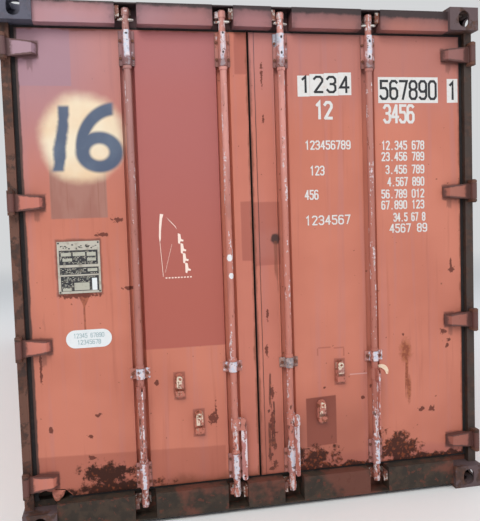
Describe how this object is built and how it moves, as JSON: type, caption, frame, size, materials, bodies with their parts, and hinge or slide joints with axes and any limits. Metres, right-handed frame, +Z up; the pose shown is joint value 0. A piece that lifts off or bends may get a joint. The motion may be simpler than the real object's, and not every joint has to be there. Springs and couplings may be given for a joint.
{
  "type": "shipping container",
  "caption": "Steel freight container with corrugated walls, two hinged end doors, lock rods with cams, hub handles and catches, corner castings and fork pockets.",
  "frame": {"origin": "centre of the footprint, on the underside of the corner castings", "axes": "+X across to the right door, +Y from the door end to the blind end, +Z up"},
  "size_m": [2.438, 6.058, 2.591],
  "materials": {
    "paint": "weathered matt red-brown paint",
    "rusty": "rusted dark brown steel",
    "casting": "rusted cast steel",
    "hardware": "chipped pale paint over steel",
    "seal": "matt black",
    "floor": "worn plywood"
  },
  "bodies": {
    "frame": {"castings_door_end": "casting", "castings_blind_end": "casting", "left_door_post": "rusty", "right_door_post": "rusty", "blind_end_posts": "paint", "door_header": "paint", "door_sill": "rusty", "blind_end_top_rail": "paint", "blind_end_bottom_rail": "paint", "top_side_rails": "paint", "bottom_side_rails": "paint", "cross_members": "rusty", "fork_pockets": "rusty", "floor_boards": "floor", "roof_sheet": "paint", "left_wall": "paint", "right_wall": "paint", "blind_end_wall": "paint", "hinge_lugs": "rusty", "cam_keepers": "hardware", "wall_vents": "paint"},
    "left_door": {"left_door_frame": "paint", "left_door_panel": "paint", "left_door_gasket": "seal", "left_door_hinges": "paint", "left_rod_brackets": "hardware", "left_handle_retainers": "hardware"},
    "right_door": {"right_door_frame": "paint", "right_door_panel": "paint", "right_door_gasket": "seal", "right_door_hinges": "paint", "right_rod_brackets": "hardware", "right_handle_retainers": "hardware"},
    "rod_1": {"lock_rod_1": "paint"},
    "handle_1": {"handle_1": "hardware"},
    "catch_1": {"catch_1": "hardware"},
    "rod_2": {"lock_rod_2": "paint"},
    "handle_2": {"handle_2": "hardware"},
    "catch_2": {"catch_2": "hardware"},
    "rod_3": {"lock_rod_3": "paint"},
    "handle_3": {"handle_3": "hardware"},
    "catch_3": {"catch_3": "hardware"},
    "rod_4": {"lock_rod_4": "paint"},
    "handle_4": {"handle_4": "hardware"},
    "catch_4": {"catch_4": "hardware"}
  },
  "joints": [
    {"name": "left_door_swing", "type": "hinge", "parent": "frame", "child": "left_door", "pos_m": [-1.197, -3.007, 1.3], "axis": [0, 0, -1], "range_deg": [0, 270]},
    {"name": "right_door_swing", "type": "hinge", "parent": "frame", "child": "right_door", "pos_m": [1.197, -3.007, 1.3], "axis": [0, 0, 1], "range_deg": [0, 270]},
    {"name": "rod_1_turn", "type": "hinge", "parent": "left_door", "child": "rod_1", "pos_m": [-0.625, -2.964, 0.662], "axis": [0, 0, -1], "range_deg": [-88, 92]},
    {"name": "handle_1_lift", "type": "hinge", "parent": "rod_1", "child": "handle_1", "pos_m": [-0.62343, -3.00897, 0.662], "axis": [0.9994, 0.0349, 0], "range_deg": [-92, 0]},
    {"name": "catch_1_swing", "type": "hinge", "parent": "left_door", "child": "catch_1", "pos_m": [-0.429, -2.9755, 0.716], "axis": [0, 1, 0], "range_deg": [-105, 0]},
    {"name": "rod_2_turn", "type": "hinge", "parent": "left_door", "child": "rod_2", "pos_m": [-0.15, -2.964, 0.455], "axis": [0, 0, 1], "range_deg": [-165, 15]},
    {"name": "handle_2_lift", "type": "hinge", "parent": "rod_2", "child": "handle_2", "pos_m": [-0.10653, -2.97565, 0.455], "axis": [0.2588, 0.9659, 0], "range_deg": [-92, 0]},
    {"name": "catch_2_swing", "type": "hinge", "parent": "left_door", "child": "catch_2", "pos_m": [-0.335, -2.9755, 0.516], "axis": [0, -1, 0], "range_deg": [-105, 0]},
    {"name": "rod_3_turn", "type": "hinge", "parent": "right_door", "child": "rod_3", "pos_m": [0.15, -2.964, 0.455], "axis": [0, 0, -1], "range_deg": [-62, 118]},
    {"name": "handle_3_lift", "type": "hinge", "parent": "rod_3", "child": "handle_3", "pos_m": [0.17113, -3.00373, 0.455], "axis": [0.8829, 0.4695, 0], "range_deg": [-92, 0]},
    {"name": "catch_3_swing", "type": "hinge", "parent": "right_door", "child": "catch_3", "pos_m": [0.325, -2.9755, 0.516], "axis": [0, 1, 0], "range_deg": [-105, 0]},
    {"name": "rod_4_turn", "type": "hinge", "parent": "right_door", "child": "rod_4", "pos_m": [0.625, -2.964, 0.662], "axis": [0, 0, 1], "range_deg": [-94, 86]},
    {"name": "handle_4_lift", "type": "hinge", "parent": "rod_4", "child": "handle_4", "pos_m": [0.62814, -3.00889, 0.662], "axis": [0.9976, 0.0698, 0], "range_deg": [-92, 0]},
    {"name": "catch_4_swing", "type": "hinge", "parent": "right_door", "child": "catch_4", "pos_m": [0.432, -2.9755, 0.723], "axis": [0, -1, 0], "range_deg": [-105, 0]}
  ]
}
